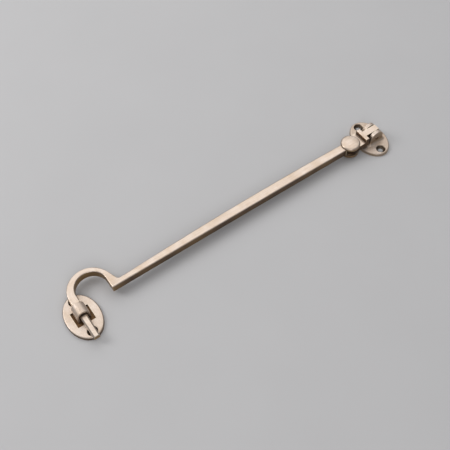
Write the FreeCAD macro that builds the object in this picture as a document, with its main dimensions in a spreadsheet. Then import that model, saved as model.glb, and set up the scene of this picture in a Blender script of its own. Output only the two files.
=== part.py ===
import FreeCAD, Part

import math
import os
import re

import Sketcher

# A cabin-hook casement stay in cast brass. A pivot plate carries two ears; a link turns
# between them on the ear pin and carries the forked arm on the fork pin. The arm is a
# rectangular bar that ends in a gooseneck hook, whose tongue slides into the arched staple
# of the keeper plate. Millimetres. The origin is the middle of the pivot plate's back,
# +Z points away from the mounting surface and the arm lies along -X.

SIZES = {
    # both oval plates
    "plate_length": 37.6,
    "plate_width": 26.0,
    "plate_thickness": 2.8,
    "plate_rim": 1.0,
    "screw_spacing": 27.4,
    "screw_hole": 4.4,
    "screw_sink": 8.0,
    # ears of the pivot plate and the pin through them
    "ear_offset": 1.7,
    "ear_radius": 6.3,
    "ear_thickness": 3.0,
    "ear_round": 0.5,
    "ear_foot_round": 2.5,
    "pivot_height": 7.3,
    "ear_pin_diameter": 3.4,
    "rivet_rise": 0.3,
    "running_gap": 0.05,
    # link
    "stem_width": 5.0,
    "side_gap": 0.55,
    "plate_gap": 0.3,
    "link_top": 13.0,
    "crossbar_reach": 12.1,
    "crossbar_depth": 3.3,
    "crossbar_width": 12.4,
    "tab_thickness": 5.2,
    "link_round": 0.35,
    # forked head of the arm and its pin
    "fork_reach": 23.2,
    "fork_radius": 7.8,
    "fork_height": 11.2,
    "fork_dome": 30.0,
    "fork_round": 1.6,
    "fork_pin_diameter": 3.6,
    "cheek_gap": 0.15,
    "slot_gap": 0.45,
    # bar of the arm
    "arm_length": 246.8,
    "arm_height": 6.8,
    "arm_round": 0.7,
    "fork_end_width": 6.8,
    "middle_width": 7.3,
    "hook_end_width": 4.5,
    "fork_end_edge": 3.4,
    "middle_edge": 3.0,
    "hook_end_edge": 2.9,
    "middle_place": 88.0,
    # gooseneck and tongue
    "hook_inner_radius": 12.0,
    "hook_outer_radius": 17.3,
    "hook_rise": 6.4,
    "hook_crown_drop": 1.1,
    "flank_angle": 20.0,
    "notch_round": 2.2,
    "neck_length": 12.0,
    "limb_width": 6.1,
    "shoulder_place": 1.0,
    "shoulder_length": 0.8,
    "tongue_length": 29.0,
    "tongue_width": 5.4,
    "tongue_tip_width": 4.7,
    "tongue_top_drop": 1.4,
    "tongue_under_rise": 0.5,
    "tip_top_drop": 2.1,
    "tip_under_rise": 0.8,
    "tongue_bevel": 1.0,
    # keeper plate and its staple
    "keeper_offset": 6.2,
    "window_length": 12.8,
    "window_width": 14.2,
    "foot_thickness": 1.4,
    "staple_length": 9.2,
    "staple_offset": 1.7,
    "staple_headroom": 1.9,
    "staple_wall": 1.7,
    "staple_round": 0.4,
    "tongue_gap": 0.6,
}

# Places and lengths that follow from the sizes. The arm's are measured from its fork pin.
FORK_X = "ear_offset - fork_reach"
KEEPER_X = f"{FORK_X} - arm_length"
TONGUE_X = "-arm_length"
HOOK_X = "(limb_width / 2 + hook_inner_radius - arm_length)"
OUTER_X = "(hook_outer_radius - limb_width / 2 - arm_length)"
OUTER_Y = "(hook_rise - hook_crown_drop)"
NECK_END = f"({HOOK_X} + hook_inner_radius + neck_length)"
FORK_PIN_LENGTH = "fork_height - fork_round / 2 + rivet_rise"
PIN_END_ROUND = "rivet_rise * 0.9"
STAPLE_TOP = "pivot_height + arm_height / 2 - tongue_top_drop + staple_headroom + staple_wall"

UP = FreeCAD.Vector(0, 0, 1)
TINY = 1e-4
PAST = 1.0  # how far a cutting outline runs past the solid

doc = FreeCAD.newDocument("casement_stay")
sheet = doc.addObject("Spreadsheet::Sheet", "Sizes")
for row, (alias, size) in enumerate(SIZES.items(), start=1):
    sheet.set(f"A{row}", alias)
    sheet.set(f"B{row}", str(size))
    sheet.setAlias(f"B{row}", alias)
doc.recompute()


# ---- formulas, sketches and features -------------------------------------------------

def formula(text):
    """Point each size named in the text at its cell."""
    return re.sub(r"[a-z_]+", lambda word: f"Sizes.{word[0]}" if word[0] in SIZES else word[0], text)


def number(text):
    """The formula's present value."""
    return float(sheet.evalExpression(formula(text)))


def new_body(name, x="0", y="0"):
    body = doc.addObject("PartDesign::Body", name)
    body.Label = name
    body.setExpression("Placement.Base.x", formula(x))
    body.setExpression("Placement.Base.y", formula(y))
    return body


def new_sketch(body, name, role, lift="0"):
    """A sketch on the body's own origin plane, lifted along the plane's normal."""
    sketch = body.newObject("Sketcher::SketchObject", name)
    plane = next(item for item in body.Origin.OriginFeatures if item.Role == role)
    sketch.AttachmentSupport = [(plane, "")]
    sketch.MapMode = "FlatFace"
    sketch.setExpression("AttachmentOffset.Base.z", formula(lift))
    return sketch


def pin(sketch, kind, geometry, point, text):
    place = sketch.addConstraint(Sketcher.Constraint(kind, -1, 1, geometry, point, number(text)))
    sketch.setExpression(f"Constraints[{place}]", formula(text))


def outline(sketch, steps):
    """Draw a closed outline. A step (x, y) is a straight run to that corner, and a step
    (x, y, centre x, centre y, turn) is an arc to it, turn 1 anticlockwise and -1 clockwise."""
    corners = [FreeCAD.Vector(number(step[0]), number(step[1]), 0) for step in steps]
    ends = []
    for place, step in enumerate(steps):
        start, end = corners[place - 1], corners[place]
        if len(step) == 2:
            ends.append((sketch.addGeometry(Part.LineSegment(start, end)), 1, 2))
            continue
        centre = FreeCAD.Vector(number(step[2]), number(step[3]), 0)
        first, last = (start, end) if step[4] > 0 else (end, start)
        angles = [math.atan2((p - centre).y, (p - centre).x) for p in (first, last)]
        if angles[1] < angles[0]:
            angles[1] += 2 * math.pi
        circle = Part.Circle(centre, UP, (start - centre).Length)
        arc = sketch.addGeometry(Part.ArcOfCircle(circle, *angles))
        ends.append((arc, 1, 2) if step[4] > 0 else (arc, 2, 1))
    for place, (geometry, _, last) in enumerate(ends):
        following, first, _ = ends[(place + 1) % len(ends)]
        sketch.addConstraint(Sketcher.Constraint("Coincident", geometry, last, following, first))
    for step, corner, (geometry, _, last) in zip(steps, corners, ends):
        kinds = {"DistanceX": step[0], "DistanceY": step[1]}
        if len(step) > 2:
            pin(sketch, "DistanceX", geometry, 3, step[2])
            pin(sketch, "DistanceY", geometry, 3, step[3])
            across, along = abs(corner.x - number(step[2])), abs(corner.y - number(step[3]))
            kinds.pop("DistanceY" if along > across else "DistanceX")
        for kind, text in kinds.items():
            pin(sketch, kind, geometry, last, text)
    return sketch


def circle_on(sketch, x, y, diameter):
    centre = FreeCAD.Vector(number(x), number(y), 0)
    round_line = sketch.addGeometry(Part.Circle(centre, UP, number(diameter) / 2))
    pin(sketch, "DistanceX", round_line, 3, x)
    pin(sketch, "DistanceY", round_line, 3, y)
    place = sketch.addConstraint(Sketcher.Constraint("Diameter", round_line, number(diameter)))
    sketch.setExpression(f"Constraints[{place}]", formula(diameter))
    return sketch


def rounded_section(sketch, left, right, low, high, corner):
    """A rectangle with round corners, all from formulas."""
    inner = (f"({left}) + {corner}", f"({right}) - {corner}", f"({low}) + {corner}", f"({high}) - {corner}")
    steps = [
        (inner[1], low), (right, inner[2], inner[1], inner[2], 1),
        (right, inner[3]), (inner[1], high, inner[1], inner[3], 1),
        (inner[0], high), (left, inner[3], inner[0], inner[3], 1),
        (left, inner[2]), (inner[0], low, inner[0], inner[2], 1),
    ]
    return outline(sketch, steps)


def feature(body, kind, name, sketch, length, both_ways=False, reverse=False):
    """A pad or pocket of the sketch."""
    item = body.newObject(f"PartDesign::{kind}", name)
    item.Profile = sketch
    item.setExpression("Length", formula(length))
    item.SideType = "Symmetric" if both_ways else "One side"
    item.Reversed = reverse
    doc.recompute()
    return item


def turned(body, name, sketch):
    """The sketch turned about its own vertical axis."""
    item = body.newObject("PartDesign::Revolution", name)
    item.Profile = sketch
    item.ReferenceAxis = (sketch, ["V_Axis"])
    item.Angle = 360
    doc.recompute()
    return item


def lofted(body, name, sketches, ruled):
    item = body.newObject("PartDesign::AdditiveLoft", name)
    item.Profile = sketches[0]
    item.Sections = sketches[1:]
    item.Ruled = ruled
    doc.recompute()
    return item


def eased(body, base, name, kind, size, wanted):
    """Fillet or chamfer those edges of the base feature that the test picks."""
    chosen = [f"Edge{place}" for place, edge in enumerate(base.Shape.Edges, start=1) if wanted(edge)]
    item = body.newObject(f"PartDesign::{kind}", name)
    item.Base = (base, chosen)
    item.setExpression("Radius" if kind == "Fillet" else "Size", formula(size))
    doc.recompute()
    return item


def level(edge, height):
    """Whether the edge lies flat at this height."""
    box = edge.BoundBox
    return abs(box.ZMin - height) < TINY and abs(box.ZMax - height) < TINY


# ---- oval plates ---------------------------------------------------------------------

def oval_plate(body):
    """The oval plate with its rounded rim and two countersunk screw holes."""
    sketch = new_sketch(body, body.Label + "_oval", "XY_Plane")
    long_way, short_way = number("plate_length / 2"), number("plate_width / 2")
    oval = Part.Ellipse(FreeCAD.Vector(0, long_way, 0), FreeCAD.Vector(-short_way, 0, 0), FreeCAD.Vector())
    sketch.addGeometry(oval)
    sketch.exposeInternalGeometry(0)
    sketch.addConstraint(Sketcher.Constraint("Coincident", 0, 3, -1, 1))
    sketch.addConstraint(Sketcher.Constraint("Vertical", 1))
    for axis, alias in ((1, "plate_length"), (2, "plate_width")):
        place = sketch.addConstraint(Sketcher.Constraint("Distance", axis, number(alias)))
        sketch.setExpression(f"Constraints[{place}]", formula(alias))
    plate = feature(body, "Pad", body.Label + "_plate", sketch, "plate_thickness")
    top = number("plate_thickness")
    plate = eased(body, plate, body.Label + "_rim", "Fillet", "plate_rim", lambda edge: level(edge, top))
    holes = new_sketch(body, body.Label + "_holes", "XY_Plane")
    for side in ("", "-"):
        circle_on(holes, "0", f"{side}screw_spacing / 2", "screw_hole")
    drilled = feature(body, "Pocket", body.Label + "_drilled", holes, "plate_thickness * 2", True)

    def hole_mouth(edge):
        return level(edge, top) and abs(edge.Length - math.pi * number("screw_hole")) < TINY

    size = "(screw_sink - screw_hole) / 2"
    return eased(body, drilled, body.Label + "_sunk", "Chamfer", size, hole_mouth)


def base_plate():
    """Pivot plate: the oval plate cast in one with two round-topped ears."""
    body = new_body("base_plate")
    oval_plate(body)
    left, right = "ear_offset - ear_radius", "ear_offset + ear_radius"
    side = outline(new_sketch(body, "ear_side", "XZ_Plane"), [
        (left, "plate_thickness / 2"), (right, "plate_thickness / 2"),
        (right, "pivot_height"), (left, "pivot_height", "ear_offset", "pivot_height", 1),
    ])
    width = "stem_width + 2 * (side_gap + ear_thickness)"
    ears = feature(body, "Pad", "ears", side, width, True)
    over = f"pivot_height + ear_radius + {PAST}"
    gap = outline(new_sketch(body, "ear_gap", "XZ_Plane"), [
        (f"{left} - {PAST}", "plate_thickness"), (f"{right} + {PAST}", "plate_thickness"),
        (f"{right} + {PAST}", over), (f"{left} - {PAST}", over),
    ])
    apart = "stem_width + 2 * side_gap"
    ears = feature(body, "Pocket", "ears_apart", gap, apart, True)
    plate_top, reach = number("plate_thickness"), number(width) / 2

    def on_outer_face(edge):
        box = edge.BoundBox
        return abs(abs(box.YMin) - reach) < TINY and abs(box.YMax - box.YMin) < TINY

    def outer_round(edge):
        return on_outer_face(edge) and edge.BoundBox.ZMax > plate_top + PAST

    def outer_foot(edge):
        return on_outer_face(edge) and level(edge, plate_top)

    ears = eased(body, ears, "ears_rounded", "Fillet", "ear_round", outer_round)
    eased(body, ears, "ears_blended", "Fillet", "ear_foot_round", outer_foot)
    bore = circle_on(new_sketch(body, "ear_bore", "XZ_Plane"), "ear_offset", "pivot_height", "ear_pin_diameter")
    feature(body, "Pocket", "ears_bored", bore, "plate_length", True)
    return body


def keeper_plate():
    """Keeper plate: the oval plate with a square window that the staple's foot fills."""
    body = new_body("keeper_plate", KEEPER_X, "-keeper_offset")
    oval_plate(body)
    wide, long = "window_width / 2", "window_length / 2"
    window = outline(new_sketch(body, "window", "XY_Plane"), [
        (f"-{wide}", f"-{long}"), (wide, f"-{long}"), (wide, long), (f"-{wide}", long),
    ])
    feature(body, "Pocket", "window_cut", window, "plate_thickness * 2", True)
    return body


# ---- pins ----------------------------------------------------------------------------

def ear_pin():
    """Ear pin: pressed into both ears, its ends riveted to low domes."""
    body = new_body("ear_pin", "ear_offset")
    shaft = circle_on(new_sketch(body, "ear_pin_section", "XZ_Plane"), "0", "pivot_height", "ear_pin_diameter")
    length = "stem_width + 2 * (side_gap + ear_thickness + rivet_rise)"
    rod = feature(body, "Pad", "ear_pin_rod", shaft, length, True)
    end = number(length) / 2

    def rim(edge):
        box = edge.BoundBox
        return abs(abs(box.YMin) - end) < TINY and box.YMax - box.YMin < TINY

    eased(body, rod, "ear_pin_ends", "Fillet", PIN_END_ROUND, rim)
    return body


def fork_pin():
    """Fork pin: riveted under the lower cheek, and blind in the upper one."""
    body = new_body("fork_pin", FORK_X)
    low = "pivot_height - fork_height / 2 - rivet_rise"
    section = circle_on(new_sketch(body, "fork_pin_section", "XY_Plane", low), "0", "0", "fork_pin_diameter")
    rod = feature(body, "Pad", "fork_pin_rod", section, FORK_PIN_LENGTH)
    foot = number(low)
    eased(body, rod, "fork_pin_end", "Fillet", PIN_END_ROUND, lambda edge: level(edge, foot))
    return body


# ---- link ----------------------------------------------------------------------------

def knuckle_link():
    """Link: a stem between the ears, a crossbar in front of them and a round-ended tab
    that lies in the arm's fork."""
    body = new_body("knuckle_link", "ear_offset")
    half, front, back = "crossbar_width / 2", "-crossbar_reach", "crossbar_depth - crossbar_reach"
    low, high = "pivot_height - tab_thickness / 2", "pivot_height + tab_thickness / 2"
    crossbar = outline(new_sketch(body, "crossbar", "XY_Plane", low), [
        (front, f"-{half}"), (back, f"-{half}"), (back, half), (front, half),
    ])
    bar = feature(body, "Pad", "crossbar_block", crossbar, f"link_top - ({low})")
    top = number("link_top")
    bar = eased(body, bar, "crossbar_rounded", "Fillet", "link_round", lambda edge: level(edge, top))
    tab = outline(new_sketch(body, "tab", "XY_Plane", low), [
        (back, f"-{half}"), (back, half), ("-fork_reach", half),
        ("-fork_reach", f"-{half}", "-fork_reach", "0", 1),
    ])
    feature(body, "Pad", "tab_block", tab, "tab_thickness")
    swing = "(pivot_height - plate_thickness - plate_gap)"
    inside = f"{back} - crossbar_depth / 3"
    stem_side = outline(new_sketch(body, "stem_side", "XZ_Plane"), [
        (inside, low), (back, low), ("0", f"pivot_height - {swing}"),
        (swing, "pivot_height", "0", "pivot_height", 1),
        (swing, "link_top - link_round"), (f"{swing} - link_round", "link_top"), (inside, "link_top"),
    ])
    feature(body, "Pad", "stem", stem_side, "stem_width", True)
    ear_bore = circle_on(new_sketch(body, "link_ear_bore", "XZ_Plane"), "0", "pivot_height",
                         "ear_pin_diameter + 2 * running_gap")
    feature(body, "Pocket", "link_ear_bored", ear_bore, "crossbar_width * 2", True)
    fork_bore = circle_on(new_sketch(body, "link_fork_bore", "XY_Plane"), "-fork_reach", "0",
                          "fork_pin_diameter + 2 * running_gap")
    feature(body, "Pocket", "link_fork_bored", fork_bore, f"{high} + {PAST}", False, True)
    return body


# ---- arm -----------------------------------------------------------------------------

def gooseneck(body):
    """The hook's gooseneck with its sharp elbow, cut from a plate as thick as the bar."""
    elbow_x = f"{HOOK_X} + hook_inner_radius"
    flank_x = f"{OUTER_X} + hook_outer_radius * cos(flank_angle)"
    flank_y = f"{OUTER_Y} + hook_outer_radius * sin(flank_angle)"
    neck_top = "hook_end_width - hook_end_edge"
    notch_x = f"{flank_x} + ({flank_y} - ({neck_top})) * tan(flank_angle)"
    left, right = f"{TONGUE_X} - limb_width / 2", f"{TONGUE_X} + limb_width / 2"
    steps = [
        (elbow_x, "-hook_end_edge"), (elbow_x, "hook_rise"),
        (right, "hook_rise", HOOK_X, "hook_rise", 1), (right, "shoulder_place"), (left, "shoulder_place"),
        (left, OUTER_Y), (flank_x, flank_y, OUTER_X, OUTER_Y, -1),
        (notch_x, neck_top), (NECK_END, neck_top), (NECK_END, "-hook_end_edge"),
    ]
    steps = [tuple(degrees(part) if isinstance(part, str) else part for part in step) for step in steps]
    sketch = outline(new_sketch(body, "gooseneck_outline", "XY_Plane", "pivot_height"), steps)
    neck = feature(body, "Pad", "gooseneck", sketch, "arm_height", True)
    notch, elbow = number(degrees(notch_x)), number(elbow_x)
    end, shoulder = number(NECK_END), number("shoulder_place")
    half = number("arm_height / 2")

    def upright_at(x):
        def test(edge):
            box = edge.BoundBox
            return abs(box.XMin - x) < TINY and abs(box.XMax - x) < TINY and box.ZMax - box.ZMin > half
        return test

    def outer_edge(edge):
        box = edge.BoundBox
        flat = box.ZMax - box.ZMin < TINY
        on_end = abs(box.XMin - end) < TINY
        on_shoulder = abs(box.YMin - shoulder) < TINY and abs(box.YMax - shoulder) < TINY
        return flat and not on_end and not on_shoulder

    neck = eased(body, neck, "notch_rounded", "Fillet", "notch_round", upright_at(notch))
    neck = eased(body, neck, "elbow_rounded", "Fillet", "arm_round * 0.6", upright_at(elbow))
    return eased(body, neck, "gooseneck_rounded", "Fillet", "arm_round", outer_edge)


def degrees(text):
    """Give the flank's angle its unit where a formula takes its sine, cosine or tangent."""
    return text.replace("(flank_angle)", "(flank_angle * 1deg)")


def bar_section(body, name, place, width, edge):
    """One cross-section of the bar, its lower edge set off from the arm's middle line."""
    sketch = new_sketch(body, name, "YZ_Plane", place)
    low, high = "pivot_height - arm_height / 2", "pivot_height + arm_height / 2"
    return rounded_section(sketch, f"-{edge}", f"{width} - {edge}", low, high, "arm_round")


def tongue_section(body, name, place, width, drop, rise, bevel):
    """One cross-section of the tongue, with bevelled upper corners."""
    sketch = new_sketch(body, name, "XZ_Plane", place)
    left, right = f"{TONGUE_X} - ({width}) / 2", f"{TONGUE_X} + ({width}) / 2"
    low = f"pivot_height - arm_height / 2 + {rise}"
    high = f"pivot_height + arm_height / 2 - {drop}"
    return outline(sketch, [
        (left, low), (right, low), (right, f"{high} - {bevel}"), (f"{right} - {bevel}", high),
        (f"{left} + {bevel}", high), (left, f"{high} - {bevel}"),
    ])


def hook_arm():
    """Arm: one casting with the forked head, the swelling bar, the gooseneck and the
    tongue, which is a little lower and narrower than the limb it grows from."""
    body = new_body("hook_arm", FORK_X)
    gooseneck(body)
    slot_end = "-(crossbar_width / 2 + slot_gap)"
    sections = [
        bar_section(body, "bar_at_hook", NECK_END, "hook_end_width", "hook_end_edge"),
        bar_section(body, "bar_at_middle", "-middle_place", "middle_width", "middle_edge"),
        bar_section(body, "bar_at_fork", slot_end, "fork_end_width", "fork_end_edge"),
    ]
    lofted(body, "bar", sections, False)
    shoulder = [
        tongue_section(body, "shoulder_full", "-shoulder_place", "limb_width", "0", "0", "arm_round"),
        tongue_section(body, "shoulder_low", "shoulder_length - shoulder_place", "tongue_width",
                       "tongue_top_drop", "tongue_under_rise", "tongue_bevel"),
        tongue_section(body, "tongue_tip", "tongue_length - shoulder_place", "tongue_tip_width",
                       "tip_top_drop", "tip_under_rise", "tongue_bevel"),
    ]
    tongue = lofted(body, "tongue", shoulder, True)
    tip = number("shoulder_place - tongue_length")

    def tip_edge(edge):
        box = edge.BoundBox
        return abs(box.YMin - tip) < TINY and abs(box.YMax - tip) < TINY

    eased(body, tongue, "tongue_rounded", "Fillet", "arm_round * 0.6", tip_edge)
    low, high = "(pivot_height - fork_height / 2)", "(pivot_height + fork_height / 2)"
    foot, foot_top = "fork_radius - fork_round / 2", f"{low} + fork_round / 2"
    dome_centre, cap = f"({high} - fork_dome)", "(fork_radius - fork_round)"
    rise = f"sqrt((fork_dome - fork_round) ^ 2 - {cap} ^ 2)"
    cap_foot, spread = f"{dome_centre} + {rise}", "fork_dome / (fork_dome - fork_round)"
    head = outline(new_sketch(body, "head_profile", "XZ_Plane"), [
        ("0", low), (foot, low), ("fork_radius", foot_top, foot, foot_top, 1),
        ("fork_radius", cap_foot), (f"{cap} * {spread}", f"{dome_centre} + {rise} * {spread}", cap, cap_foot, 1),
        ("0", high, "0", dome_centre, 1),
    ])
    turned(body, "head", head)
    slot_low = "pivot_height - tab_thickness / 2 - cheek_gap"
    slot_high = "pivot_height + tab_thickness / 2 + cheek_gap"
    slot = outline(new_sketch(body, "slot", "XZ_Plane"), [
        (slot_end, slot_low), ("fork_radius * 2", slot_low), ("fork_radius * 2", slot_high), (slot_end, slot_high),
    ])
    feature(body, "Pocket", "slot_cut", slot, "fork_radius * 4", True)
    bore = circle_on(new_sketch(body, "head_bore", "XY_Plane", f"{low} - rivet_rise"), "0", "0", "fork_pin_diameter")
    feature(body, "Pocket", "head_bored", bore, FORK_PIN_LENGTH, False, True)
    return body


# ---- staple --------------------------------------------------------------------------

def keeper_staple():
    """Staple: a round-topped arch on a square foot, let into the keeper's window."""
    body = new_body("keeper_staple", KEEPER_X, "-keeper_offset")
    wide, long = "window_width / 2", "window_length / 2"
    foot = outline(new_sketch(body, "staple_foot", "XY_Plane"), [
        (f"-{wide}", f"-{long}"), (wide, f"-{long}"), (wide, long), (f"-{wide}", long),
    ])
    feature(body, "Pad", "foot", foot, "foot_thickness")
    inner = "(tongue_width / 2 + tongue_gap)"
    outer = f"({inner} + staple_wall)"
    centre, floor = f"({STAPLE_TOP} - {outer})", "foot_thickness / 2"
    start = "-staple_offset - staple_length / 2"
    arch = outline(new_sketch(body, "arch_section", "XZ_Plane", start), [
        (f"-{outer}", floor), (f"-{inner}", floor), (f"-{inner}", centre),
        (inner, centre, "0", centre, -1), (inner, floor), (outer, floor), (outer, centre),
        (f"-{outer}", centre, "0", centre, 1),
    ])
    arch = feature(body, "Pad", "arch", arch, "staple_length")
    ends = [number(start) * -1, number(start) * -1 - number("staple_length")]
    foot_top = number("foot_thickness")

    def arch_end(edge):
        box = edge.BoundBox
        flat = box.YMax - box.YMin < TINY
        return flat and box.ZMax > foot_top + PAST and min(abs(box.YMin - end) for end in ends) < TINY

    eased(body, arch, "arch_rounded", "Fillet", "staple_round", arch_end)
    return body


# ---- the whole -----------------------------------------------------------------------

bodies = [base_plate(), ear_pin(), knuckle_link(), fork_pin(), hook_arm(), keeper_plate(), keeper_staple()]
doc.recompute()
for item in doc.Objects:
    if {"Invalid", "Error"} & set(item.State):
        raise RuntimeError(f"{item.Label} failed: {item.State}")
os.makedirs("parts", exist_ok=True)
for body in bodies:
    if body.Shape.isNull() or not body.Shape.isValid() or len(body.Shape.Solids) != 1:
        raise RuntimeError(f"{body.Label} is not one valid solid")
for body in bodies:
    body.Shape.exportStep(f"parts/{body.Label}.step")
    box = body.Shape.BoundBox
    print(f"{body.Label}: {body.Shape.Volume:.0f} mm3, x {box.XMin:.1f}..{box.XMax:.1f},"
          f" y {box.YMin:.1f}..{box.YMax:.1f}, z {box.ZMin:.1f}..{box.ZMax:.1f}")
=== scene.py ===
import math

import bpy
from mathutils import Matrix, Vector


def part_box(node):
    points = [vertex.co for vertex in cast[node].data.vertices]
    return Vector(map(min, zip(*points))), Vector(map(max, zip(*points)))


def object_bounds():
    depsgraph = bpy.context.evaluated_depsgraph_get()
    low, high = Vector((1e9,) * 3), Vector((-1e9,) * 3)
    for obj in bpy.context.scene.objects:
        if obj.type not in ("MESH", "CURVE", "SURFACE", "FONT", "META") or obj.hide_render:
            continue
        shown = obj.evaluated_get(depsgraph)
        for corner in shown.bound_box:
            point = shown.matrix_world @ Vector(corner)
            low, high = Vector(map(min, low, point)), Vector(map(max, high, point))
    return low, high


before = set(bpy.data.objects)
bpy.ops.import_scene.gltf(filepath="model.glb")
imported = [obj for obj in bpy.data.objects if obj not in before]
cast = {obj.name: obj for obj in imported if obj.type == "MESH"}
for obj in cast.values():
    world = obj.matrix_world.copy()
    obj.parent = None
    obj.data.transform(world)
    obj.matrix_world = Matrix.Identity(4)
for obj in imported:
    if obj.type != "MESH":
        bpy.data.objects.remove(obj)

cad_low, cad_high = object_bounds()

# ---- Bench -----------------------------------------------------------------------------
# The stay lies on a plain pale board of matt sealed paint, a wide sheet that runs out of
# sight on every side. It is brushed on, so the coat has a faint mottle.

BENCH_HALF = 8.0
BENCH_COLOUR = (0.60, 0.597, 0.605, 1.0)
BENCH_SHADE = (0.57, 0.567, 0.575, 1.0)
MOTTLE_SCALE = 14.0
MOTTLE_DETAIL = 2.0
PAINT_ROUGHNESS = 0.85
PAINT_GLOSS = 0.2


def shader_for(name):
    """A new material with its Principled shader, node list and link maker."""
    material = bpy.data.materials.new(name)
    material.use_nodes = True
    tree = material.node_tree
    return material, tree.nodes["Principled BSDF"], tree.nodes, tree.links


def noise(nodes, links, place, scale, detail, roughness=0.55):
    """A noise texture read at a place that another node gives."""
    texture = nodes.new("ShaderNodeTexNoise")
    texture.inputs["Scale"].default_value = scale
    texture.inputs["Detail"].default_value = detail
    texture.inputs["Roughness"].default_value = roughness
    links.new(place, texture.inputs["Vector"])
    return texture.outputs["Fac"]


def colour_mix(nodes, links, mask, low, high):
    """A mix of two colours, or of a colour and another node's, by a mask."""
    mix = nodes.new("ShaderNodeMix")
    mix.data_type = "RGBA"
    links.new(mask, mix.inputs["Factor"])
    for end, value in (("A", low), ("B", high)):
        socket = next(s for s in mix.inputs if s.name == end and s.type == "RGBA")
        if isinstance(value, tuple):
            socket.default_value = value
        else:
            links.new(value, socket)
    return next(s for s in mix.outputs if s.type == "RGBA")


bench_mesh = bpy.data.meshes.new("bench")
bench_mesh.from_pydata(
    [(x * BENCH_HALF, y * BENCH_HALF, 0.0) for x, y in ((-1, -1), (1, -1), (1, 1), (-1, 1))],
    [], [(0, 1, 2, 3)])
bench = bpy.data.objects.new("bench", bench_mesh)
bpy.context.scene.collection.objects.link(bench)
paint, paint_shader, nodes, links = shader_for("matt_paint")
paint_place = nodes.new("ShaderNodeTexCoord").outputs["Object"]
paint_mottle = noise(nodes, links, paint_place, MOTTLE_SCALE, MOTTLE_DETAIL)
links.new(colour_mix(nodes, links, paint_mottle, BENCH_COLOUR, BENCH_SHADE),
          paint_shader.inputs["Base Color"])
paint_shader.inputs["Roughness"].default_value = PAINT_ROUGHNESS
paint_shader.inputs["Specular IOR Level"].default_value = PAINT_GLOSS
bench_mesh.materials.append(paint)

# ---- Lamps and camera ------------------------------------------------------------------
# A wide soft lamp stands high behind the stay, so the flat top faces carry its long even
# sheen. A weaker one at the left and one in front light the rounded rims. The camera looks
# down from the front left.

LAMPS = (
    # name, place from the stay's middle, size, watts, colour
    ("back_soft_box", (0.30, 0.55, 0.97), (1.6, 1.3), 7.4, (1.0, 0.985, 0.96)),
    ("left_lamp", (-0.75, 0.60, 0.80), (0.55, 0.55), 4.5, (1.0, 0.99, 0.98)),
    ("front_lamp", (-0.42, -0.80, 0.78), (0.6, 0.6), 2.6, (1.0, 0.98, 0.95)),
)
STUDIO_COLOUR = (0.80, 0.82, 0.86, 1.0)
STUDIO_STRENGTH = 0.32
CAMERA_AIM = Vector((-0.14316, 0.00015, 0.0))
CAMERA_TURN = math.radians(33.43)
CAMERA_TILT = math.radians(56.72)
CAMERA_ROLL = math.radians(-1.71)
CAMERA_DISTANCE = 0.5476
CAMERA_FIELD = math.radians(34.55)
SENSOR = 36.0


def soft_lamp(name, place, aim, size, watts, colour):
    """A four-sided soft box at a place, turned to its aim."""
    light = bpy.data.lights.new(name, "AREA")
    light.shape = "RECTANGLE"
    light.size, light.size_y = size
    light.energy = watts
    light.color = colour
    lamp = bpy.data.objects.new(name, light)
    lamp.location = place
    lamp.rotation_euler = (aim - place).to_track_quat("-Z", "Y").to_euler()
    bpy.context.scene.collection.objects.link(lamp)


middle = (cad_low + cad_high) / 2
for name, place, size, watts, colour in LAMPS:
    soft_lamp(name, middle + Vector(place), middle, size, watts, colour)

world = bpy.data.worlds.new("studio")
world.use_nodes = True
world.node_tree.nodes["Background"].inputs["Color"].default_value = STUDIO_COLOUR
world.node_tree.nodes["Background"].inputs["Strength"].default_value = STUDIO_STRENGTH
bpy.context.scene.world = world
bpy.context.scene.view_settings.view_transform = "Standard"
bpy.context.scene.view_settings.look = "None"

look = Vector((math.sin(CAMERA_TURN) * math.cos(CAMERA_TILT),
               math.cos(CAMERA_TURN) * math.cos(CAMERA_TILT), -math.sin(CAMERA_TILT)))
level = look.cross(Vector((0.0, 0.0, 1.0))).normalized()
above = level.cross(look)
right = level * math.cos(CAMERA_ROLL) + above * math.sin(CAMERA_ROLL)
up = above * math.cos(CAMERA_ROLL) - level * math.sin(CAMERA_ROLL)
lens = bpy.data.cameras.new("camera")
lens.sensor_width = SENSOR
lens.lens = SENSOR / 2 / math.tan(CAMERA_FIELD / 2)
camera = bpy.data.objects.new("camera", lens)
stand = Matrix((right, up, -look)).transposed().to_4x4()
stand.translation = CAMERA_AIM - look * CAMERA_DISTANCE
camera.matrix_world = stand
bpy.context.scene.collection.objects.link(camera)
bpy.context.scene.camera = camera

# ---- Pivot base ------------------------------------------------------------------------
# An oval brass plate cast in one with two round-topped ears and drilled for two countersunk
# screws. The casting is linished flat on top, toned brown, then relieved, so its high
# places are pale. The brown is laid on by the way each face turns, darker on the sides, so
# it is partly real toning and partly painted shade.

PALE_BRASS = (0.75, 0.645, 0.565, 1.0)
WARM_BRASS = (0.67, 0.535, 0.42, 1.0)
# The brown of the sides and of the linishing streaks: toning, and on the sides painted shade.
TONED_AND_SHADED_BRASS = (0.155, 0.100, 0.066, 1.0)
# The plate's side colour: toning and painted shade.
EAR_TONE_AND_SHADE = (0.50, 0.40, 0.31, 1.0)
# Golden brown painted in patches on the sides as painted reflection.
GOLDEN_REFLECTION = (0.43, 0.27, 0.115, 1.0)
# Dark brown of corners, screw holes and the fork: painted shade, with grime in the corners.
DEEP_SHADE_AND_GRIME = (0.052, 0.032, 0.018, 1.0)
# Pale gold of sharp edges: rubbed wear, and painted highlight.
BRIGHT_EDGE = (0.92, 0.79, 0.59, 1.0)

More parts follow.
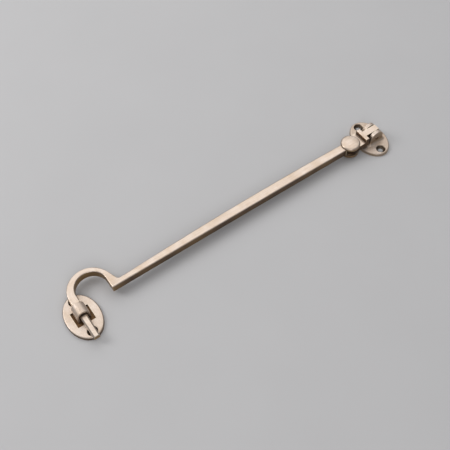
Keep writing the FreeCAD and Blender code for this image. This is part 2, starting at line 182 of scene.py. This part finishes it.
# Where wear, dirt, tone and the painted shade, highlight and reflection begin and are full, as
# ranges of the value that they follow.
SHARP_TURN = (0.995, 0.86)
WEAR_PATCHES = (0.35, 0.62)
WEAR_LEAST = 0.45
CORNER_SHADE = (0.88, 0.45)
SIDE_RELIEF_AND_SHADE = (0.45, 0.93)
STRAY_SCRATCHES = (0.63, 0.70)
BLOOM_RANGE = (0.35, 0.70)
STREAK_RANGE = (0.30, 0.70)
GOLD_RANGE = (0.38, 0.80)

# How strongly each shows in the colour, in the roughness and in the relief of the skin.
STREAK_TONE = 0.28
GOLD_MOST = 0.60
CORNER_DIRT_AND_SHADE = 0.85
EDGE_RUB_AND_HIGHLIGHT = 0.8
CORNER_DULLS = 0.30
BLOOM_DULLS = 0.08
EDGE_SHINES = -0.10
STREAK_HEIGHT = 0.35
SCRATCH_HEIGHT = -0.5
SKIN_STRENGTH = 0.22
SKIN_DEPTH = 0.0002

# How fine each pattern is, in waves to the metre, and how much finer detail it carries. The
# lines' own spacing stretches them, so their scales are shares of it.
PATCH_SCALE = 260.0
PATCH_DETAIL = 3.0
BLOOM_SCALE = 95.0
BLOOM_DETAIL = 4.0
BLOOM_BREAK = 0.6
GOLD_SCALE = 55.0
GOLD_DETAIL = 5.0
SKIN_SCALE = 420.0
SKIN_DETAIL = 3.0
LINE_SCALE = 1.0
LINE_DETAIL = 3.0
LINE_BREAK = 0.65
STRAY_SCALE = 0.33
STRAY_DETAIL = 1.0
EDGE_SAMPLES = 6
CORNER_SAMPLES = 8

USUAL_EDGE = 0.0006
USUAL_CORNER = 0.004
USUAL_SPACING = (60.0, 4200.0, 4200.0)
HOLE_OFFSET = 0.0137
HOLE_RADIUS = 0.0039
HOLE_RIM = 0.0006
# How dark the painted shade in the screw holes is.
HOLE_SHADE = 0.9


def value_range(nodes, links, value, low, high, to_low, to_high):
    """A value taken from one range to another, held within the new one."""
    span = nodes.new("ShaderNodeMapRange")
    for socket, number in (("From Min", low), ("From Max", high), ("To Min", to_low), ("To Max", to_high)):
        span.inputs[socket].default_value = number
    links.new(value, span.inputs["Value"])
    return span.outputs["Result"]


def math_node(nodes, links, operation, first, second=None, third=None):
    """A Math node, fed by numbers or by other nodes' sockets."""
    node = nodes.new("ShaderNodeMath")
    node.operation = operation
    for socket, value in zip(node.inputs, (first, second, third)):
        if isinstance(value, (int, float)):
            socket.default_value = value
        elif value is not None:
            links.new(value, socket)
    return node.outputs[0]


def vector_node(nodes, links, operation, first, second=None):
    """A Vector Math node, fed by vectors or by other nodes' sockets."""
    node = nodes.new("ShaderNodeVectorMath")
    node.operation = operation
    for socket, value in zip(node.inputs, (first, second)):
        if isinstance(value, tuple):
            socket.default_value = value
        elif value is not None:
            links.new(value, socket)
    return node.outputs["Value" if operation in ("LENGTH", "DOT_PRODUCT") else "Vector"]


def parts_of(nodes, links, vector):
    """The X, Y and Z of a vector."""
    node = nodes.new("ShaderNodeSeparateXYZ")
    links.new(vector, node.inputs[0])
    return node.outputs


def joined(nodes, links, *parts):
    """A vector made of its X, Y and, if given, Z."""
    node = nodes.new("ShaderNodeCombineXYZ")
    for socket, part in zip(node.inputs, parts):
        links.new(part, socket)
    return node.outputs["Vector"]


def new_group(name, inputs, outputs):
    """An empty node group with its named sockets, and its end nodes."""
    tree = bpy.data.node_groups.new(name, "ShaderNodeTree")
    for socket, kind, value in inputs:
        made = tree.interface.new_socket(name=socket, in_out="INPUT", socket_type=kind)
        if value is not None:
            made.default_value = value
    for socket, kind in outputs:
        tree.interface.new_socket(name=socket, in_out="OUTPUT", socket_type=kind)
    given, made = tree.nodes.new("NodeGroupInput").outputs, tree.nodes.new("NodeGroupOutput").inputs
    return tree, given, made


def wear_and_light_group():
    """Rubbed edges that are also painted highlights, corners darkened as grime and painted shade,
    and faces that look up, whose brown sides are partly painted shade, each as a mask.
    """
    tree, given, made = new_group("wear_grime_and_painted_light", [
        ("Edge Width", "NodeSocketFloat", USUAL_EDGE), ("Corner Depth", "NodeSocketFloat", USUAL_CORNER),
        ("Patchiness", "NodeSocketFloat", PATCH_SCALE),
        ("Lowest Relief", "NodeSocketFloat", SIDE_RELIEF_AND_SHADE[0]),
        ("Full Relief", "NodeSocketFloat", SIDE_RELIEF_AND_SHADE[1]),
    ], [("Edges", "NodeSocketFloat"), ("Corners", "NodeSocketFloat"), ("Tops", "NodeSocketFloat")])
    nodes, links = tree.nodes, tree.links
    coordinates = nodes.new("ShaderNodeTexCoord")
    patches = nodes.new("ShaderNodeTexNoise")
    patches.inputs["Detail"].default_value = PATCH_DETAIL
    links.new(coordinates.outputs["Object"], patches.inputs["Vector"])
    links.new(given["Patchiness"], patches.inputs["Scale"])
    # Sharp edges are painted bright: rubbed wear, and painted highlight.
    rounded = nodes.new("ShaderNodeBevel")
    rounded.samples = EDGE_SAMPLES
    links.new(given["Edge Width"], rounded.inputs["Radius"])
    facing = vector_node(nodes, links, "DOT_PRODUCT", rounded.outputs["Normal"],
                         nodes.new("ShaderNodeNewGeometry").outputs["Normal"])
    sharp = value_range(nodes, links, facing, *SHARP_TURN, 0.0, 1.0)
    broken = value_range(nodes, links, patches.outputs["Fac"], *WEAR_PATCHES, WEAR_LEAST, 1.0)
    # Corners that the piece closes in on itself are painted dark: painted shade, with some grime.
    occlusion = nodes.new("ShaderNodeAmbientOcclusion")
    occlusion.samples = CORNER_SAMPLES
    occlusion.only_local = True
    links.new(given["Corner Depth"], occlusion.inputs["Distance"])
    shut = value_range(nodes, links, occlusion.outputs["AO"], *CORNER_SHADE, 0.0, 1.0)
    open_part = math_node(nodes, links, "SUBTRACT", 1.0, shut)
    worn_and_lit_edges = math_node(nodes, links, "MULTIPLY", sharp, broken)
    links.new(math_node(nodes, links, "MULTIPLY", worn_and_lit_edges, open_part), made["Edges"])
    links.new(shut, made["Corners"])
    # Faces that look up stay pale and the sides turn brown: toning, and painted shade.
    relieved = nodes.new("ShaderNodeMapRange")
    relieved.interpolation_type = "SMOOTHSTEP"
    links.new(parts_of(nodes, links, coordinates.outputs["Normal"])["Z"], relieved.inputs["Value"])
    links.new(given["Lowest Relief"], relieved.inputs["From Min"])
    links.new(given["Full Relief"], relieved.inputs["From Max"])
    links.new(relieved.outputs["Result"], made["Tops"])
    return tree


def linished_group():
    """The fine parallel lines of a linishing belt, with a few deeper stray scratches."""
    tree, given, made = new_group("linished_lines", [
        ("Place", "NodeSocketVector", None), ("Spacing", "NodeSocketVector", USUAL_SPACING),
    ], [("Lines", "NodeSocketFloat"), ("Scratches", "NodeSocketFloat"), ("Bloom", "NodeSocketFloat")])
    nodes, links = tree.nodes, tree.links
    drawn = vector_node(nodes, links, "MULTIPLY", given["Place"], given["Spacing"])
    links.new(noise(nodes, links, drawn, LINE_SCALE, LINE_DETAIL, LINE_BREAK), made["Lines"])
    sparse = noise(nodes, links, drawn, STRAY_SCALE, STRAY_DETAIL)
    links.new(value_range(nodes, links, sparse, *STRAY_SCRATCHES, 0.0, 1.0), made["Scratches"])
    links.new(noise(nodes, links, given["Place"], BLOOM_SCALE, BLOOM_DETAIL, BLOOM_BREAK), made["Bloom"])
    return tree


def screw_hole_shade_group():
    """Painted shade round the walls of a plate's two screw holes."""
    tree, given, made = new_group("shade_in_screw_holes", [
        ("Place", "NodeSocketVector", None), ("Plate Middle", "NodeSocketVector", (0.0, 0.0, 0.0)),
        ("Hole Offset", "NodeSocketFloat", HOLE_OFFSET), ("Hole Radius", "NodeSocketFloat", HOLE_RADIUS),
    ], [("Shade", "NodeSocketFloat")])
    nodes, links = tree.nodes, tree.links
    from_middle = vector_node(nodes, links, "SUBTRACT", given["Place"], given["Plate Middle"])
    parts = parts_of(nodes, links, from_middle)
    along = math_node(nodes, links, "ABSOLUTE", parts["Y"])
    past_hole = math_node(nodes, links, "SUBTRACT", along, given["Hole Offset"])
    distance = vector_node(nodes, links, "LENGTH", joined(nodes, links, parts["X"], past_hole))
    inward = math_node(nodes, links, "SUBTRACT", given["Hole Radius"], distance)
    links.new(value_range(nodes, links, inward, 0.0, HOLE_RIM, 0.0, HOLE_SHADE), made["Shade"])
    return tree


WEAR_AND_LIGHT = wear_and_light_group()
LINISHED = linished_group()
SCREW_HOLE_SHADE = screw_hole_shade_group()


def shade_in_holes(node):
    """The painted shade of a plate's screw holes, which lie evenly about the middle of the node's box."""
    low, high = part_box(node)

    def maker(nodes, links, place):
        darkening = nodes.new("ShaderNodeGroup")
        darkening.node_tree = SCREW_HOLE_SHADE
        darkening.inputs["Plate Middle"].default_value = (low + high) / 2
        links.new(place, darkening.inputs["Place"])
        return darkening.outputs["Shade"]

    return maker


def brass_finish(name, spacing, edge_width, corner_depth, roughness, relief_and_shade=SIDE_RELIEF_AND_SHADE, side_tone_and_shade=TONED_AND_SHADED_BRASS,
                 darkening=DEEP_SHADE_AND_GRIME, place_maker=None, shade_maker=None, reflection_maker=None, highlight_maker=None):
    """Toned and relieved cast brass: pale on its tops and rims, brown in its corners and on its sides.
    The brown of the sides is partly toning and partly painted shade, the dark corners are grime
    and painted shade, the bright edges are wear and painted highlight, and the golden patches on
    the sides are painted reflection.

    The makers add a piece's own run of the lines, and its own painted shade, painted golden
    reflection and painted highlight.
    """
    material, shader, nodes, links = shader_for(name)
    wear_and_light = nodes.new("ShaderNodeGroup")
    wear_and_light.node_tree = WEAR_AND_LIGHT
    wear_and_light.inputs["Edge Width"].default_value = edge_width
    wear_and_light.inputs["Corner Depth"].default_value = corner_depth
    wear_and_light.inputs["Lowest Relief"].default_value, wear_and_light.inputs["Full Relief"].default_value = relief_and_shade
    lines = nodes.new("ShaderNodeGroup")
    lines.node_tree = LINISHED
    lines.inputs["Spacing"].default_value = spacing
    place = nodes.new("ShaderNodeTexCoord").outputs["Object"]
    links.new(place_maker(nodes, links, place) if place_maker else place, lines.inputs["Place"])
    bloom = value_range(nodes, links, lines.outputs["Bloom"], *BLOOM_RANGE, 0.0, 1.0)
    streak = value_range(nodes, links, lines.outputs["Lines"], *STREAK_RANGE, 0.0, 1.0)

    polished = colour_mix(nodes, links, bloom, PALE_BRASS, WARM_BRASS)
    polished = colour_mix(nodes, links, math_node(nodes, links, "MULTIPLY", streak, STREAK_TONE),
                          polished, TONED_AND_SHADED_BRASS)
    # Golden patches painted on the sides as painted reflection.
    reflection_patches = noise(nodes, links, place, GOLD_SCALE, GOLD_DETAIL)
    reflection_share = value_range(nodes, links, reflection_patches, *GOLD_RANGE, 0.0, GOLD_MOST)
    if reflection_maker:
        reflection_share = math_node(nodes, links, "MAXIMUM", reflection_share, reflection_maker(nodes, links, place))
    side_colour = colour_mix(nodes, links, reflection_share, side_tone_and_shade, GOLDEN_REFLECTION)
    # Pale on what faces up, brown on the sides: relief, and painted shade.
    tops = wear_and_light.outputs["Tops"]
    # The tongue's sides are painted pale as painted highlight.
    if highlight_maker:
        tops = math_node(nodes, links, "MAXIMUM", tops, highlight_maker(nodes, links, place))
    body_colour = colour_mix(nodes, links, tops, side_colour, polished)
    # Corners, screw holes, the fork and the recess are painted dark: painted shade, with grime in the
    # corners.
    dirt_and_shade = math_node(nodes, links, "MULTIPLY", wear_and_light.outputs["Corners"], CORNER_DIRT_AND_SHADE)
    if shade_maker:
        dirt_and_shade = math_node(nodes, links, "MAXIMUM", dirt_and_shade, shade_maker(nodes, links, place))
    grimed_and_shaded = colour_mix(nodes, links, dirt_and_shade, body_colour, darkening)
    # Sharp edges painted bright: wear, and painted highlight.
    edged = colour_mix(nodes, links, math_node(nodes, links, "MULTIPLY", wear_and_light.outputs["Edges"], EDGE_RUB_AND_HIGHLIGHT),
                       grimed_and_shaded, BRIGHT_EDGE)
    links.new(edged, shader.inputs["Base Color"])
    shader.inputs["Metallic"].default_value = 1.0

    dulled = math_node(nodes, links, "MULTIPLY_ADD", wear_and_light.outputs["Corners"], CORNER_DULLS, roughness)
    dulled = math_node(nodes, links, "MULTIPLY_ADD", bloom, BLOOM_DULLS, dulled)
    dulled = math_node(nodes, links, "MULTIPLY_ADD", wear_and_light.outputs["Edges"], EDGE_SHINES, dulled)
    links.new(dulled, shader.inputs["Roughness"])

    skin = noise(nodes, links, place, SKIN_SCALE, SKIN_DETAIL)
    height = math_node(nodes, links, "MULTIPLY_ADD", streak, STREAK_HEIGHT, skin)
    height = math_node(nodes, links, "MULTIPLY_ADD", lines.outputs["Scratches"], SCRATCH_HEIGHT, height)
    bump = nodes.new("ShaderNodeBump")
    bump.inputs["Strength"].default_value = SKIN_STRENGTH
    bump.inputs["Distance"].default_value = SKIN_DEPTH
    links.new(height, bump.inputs["Height"])
    links.new(bump.outputs["Normal"], shader.inputs["Normal"])
    return material


def dress(node, material):
    """Puts a finish on a cast piece."""
    mesh = cast[node].data
    mesh.materials.clear()
    mesh.materials.append(material)


# The plate's rims stay pale far down their slope, as painted light.
plate_finish = brass_finish(
    "relieved_plate_with_painted_light", spacing=(900.0, 3400.0, 3400.0), edge_width=0.0007, corner_depth=0.0030,
    roughness=0.48, relief_and_shade=(0.25, 0.85), side_tone_and_shade=EAR_TONE_AND_SHADE, shade_maker=shade_in_holes("base_plate"))
dress("base_plate", plate_finish)

# ---- Knuckle link and its two pins -----------------------------------------------------
# The link is a small T-shaped casting, filed flat on top. It turns on a plain pin through
# the ears, and its tab holds the arm on an upright pin whose ends are peened over.

# The link's tab inside the arm's fork is painted dark as painted shade.
FORK_SHADE_START = 0.00800
FORK_SHADE_FULL = 0.00704
FORK_SHADE_MOST = 0.95


def shade_in_fork(nodes, links, place):
    """Everything of the link that lies inside the arm's fork, round the upright pin, painted dark
    as painted shade.
    """
    low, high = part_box("fork_pin")
    from_pin = vector_node(nodes, links, "SUBTRACT", place, tuple((low + high) / 2))
    flat = vector_node(nodes, links, "MULTIPLY", from_pin, (1.0, 1.0, 0.0))
    distance = vector_node(nodes, links, "LENGTH", flat)
    return value_range(nodes, links, distance, FORK_SHADE_START, FORK_SHADE_FULL, 0.0, FORK_SHADE_MOST)


link_finish = brass_finish(
    "filed_link", spacing=(3600.0, 700.0, 3600.0), edge_width=0.0006, corner_depth=0.0035,
    roughness=0.30, shade_maker=shade_in_fork)
dress("knuckle_link", link_finish)
pin_finish = brass_finish(
    "peened_pin", spacing=(2600.0, 2600.0, 2600.0), edge_width=0.0005, corner_depth=0.002,
    roughness=0.36, relief_and_shade=(0.2, 0.9))
dress("ear_pin", pin_finish)
dress("fork_pin", pin_finish)

# ---- Hook arm --------------------------------------------------------------------------
# One long brass casting: a domed fork, a bar that swells at its middle, a gooseneck with a
# sharp elbow, and a tongue. It is linished along its length, and round the bend of the hook.

BEND_CENTRE = (-0.25325, 0.0064, 0.0)
BEND_START = -0.2415
BEND_RADIUS = 0.0146
GOLD_BEFORE_BEND = 0.016
FORK_START = -0.0300
FORK_GOLD = 0.8
# Patches of the painted golden reflection on the hook and the fork.
REFLECTION_PATCH_SCALE = 120.0
REFLECTION_PATCH_DETAIL = 4.0
REFLECTION_PATCH_RANGE = (0.30, 0.70)
REFLECTION_PATCH_LEAST = 0.50
REFLECTION_PATCH_MOST = 0.90
# Where the tongue's sides are painted pale as painted highlight.
TONGUE_START = -0.0095
TONGUE_END = -0.0276
TONGUE_HIGHLIGHT = 0.9
END_FADE = 0.0008
FADE = 0.002


def along_the_hook(nodes, links, place):
    """The place along and across the casting: straight on the bar, and turning with the hook."""
    from_bend = vector_node(nodes, links, "SUBTRACT", place, BEND_CENTRE)
    parts = parts_of(nodes, links, from_bend)
    out = vector_node(nodes, links, "MULTIPLY", from_bend, (1.0, 1.0, 0.0))
    radius = vector_node(nodes, links, "LENGTH", out)
    turn = math_node(nodes, links, "ARCTAN2", parts["Y"], parts["X"])
    round_bend = math_node(nodes, links, "MULTIPLY", turn, BEND_RADIUS)
    turned = joined(nodes, links, round_bend, radius, parts["Z"])
    straight = parts_of(nodes, links, place)
    on_hook = value_range(nodes, links, straight["X"], BEND_START, BEND_START - FADE, 0.0, 1.0)
    mix = nodes.new("ShaderNodeMix")
    mix.data_type = "VECTOR"
    links.new(on_hook, mix.inputs["Factor"])
    vectors = [socket for socket in mix.inputs if socket.type == "VECTOR"]
    links.new(place, vectors[-2])
    links.new(turned, vectors[-1])
    return next(socket for socket in mix.outputs if socket.type == "VECTOR")


def golden_reflection_on_hook(nodes, links, place):
    """The hook and the fork have golden patches painted on their sides as painted reflection."""
    along = parts_of(nodes, links, place)["X"]
    on_hook = value_range(nodes, links, along, BEND_START + GOLD_BEFORE_BEND, BEND_START, 0.0, 1.0)
    on_fork = value_range(nodes, links, along, FORK_START, FORK_START + FADE, 0.0, FORK_GOLD)
    reflecting = math_node(nodes, links, "MAXIMUM", on_hook, on_fork)
    patches = noise(nodes, links, place, REFLECTION_PATCH_SCALE, REFLECTION_PATCH_DETAIL)
    patches = value_range(nodes, links, patches, *REFLECTION_PATCH_RANGE, REFLECTION_PATCH_LEAST, REFLECTION_PATCH_MOST)
    return math_node(nodes, links, "MULTIPLY", reflecting, patches)


def tongue_side_highlight(nodes, links, place):
    """The tongue's sides are painted pale as painted highlight, and its end keeps the brown of the
    sides as painted shadow.
    """
    across = parts_of(nodes, links, place)["Y"]
    past_start = value_range(nodes, links, across, TONGUE_START, TONGUE_START - FADE, 0.0, TONGUE_HIGHLIGHT)
    before_end = value_range(nodes, links, across, TONGUE_END, TONGUE_END + END_FADE, 0.0, 1.0)
    return math_node(nodes, links, "MULTIPLY", past_start, before_end)


arm_finish = brass_finish(
    "linished_arm", spacing=(70.0, 3800.0, 3800.0), edge_width=0.0008, corner_depth=0.005,
    roughness=0.30, relief_and_shade=(0.10, 0.70), place_maker=along_the_hook, reflection_maker=golden_reflection_on_hook,
    highlight_maker=tongue_side_highlight)
dress("hook_arm", arm_finish)

# ---- Keeper ----------------------------------------------------------------------------
# The oval keeper plate is cast with a square window. A half-round staple is set in it with
# its feet down in the recess, and the arm's tongue passes under its arch. Everything in the
# recess is painted dark brown as painted shade.

# The recess below the window's mouth is painted dark as painted shade.
RECESS_TOP = 0.00260
RECESS_FLOOR = 0.00208
RECESS_SHADE = 0.97
SHADED_RECESS_COLOUR = (0.17, 0.090, 0.040, 1.0)


def shade_in_recess(nodes, links, place):
    """Everything that lies lower than the mouth of the window, painted dark as painted shade."""
    height = parts_of(nodes, links, place)["Z"]
    return value_range(nodes, links, height, RECESS_TOP, RECESS_FLOOR, 0.0, RECESS_SHADE)


keeper_finish = brass_finish(
    "relieved_keeper_with_painted_light", spacing=(3400.0, 900.0, 3400.0), edge_width=0.0007, corner_depth=0.0030,
    roughness=0.36, relief_and_shade=(0.25, 0.85), shade_maker=shade_in_holes("keeper_plate"))
dress("keeper_plate", keeper_finish)
# The staple's walls take the pale of its top, as painted light, and its feet the painted shade of the
# recess.
staple_finish = brass_finish(
    "rubbed_staple_with_painted_light", spacing=(3200.0, 600.0, 3200.0), edge_width=0.0007, corner_depth=0.004,
    roughness=0.50, relief_and_shade=(-0.90, 0.0), darkening=SHADED_RECESS_COLOUR, shade_maker=shade_in_recess)
dress("keeper_staple", staple_finish)
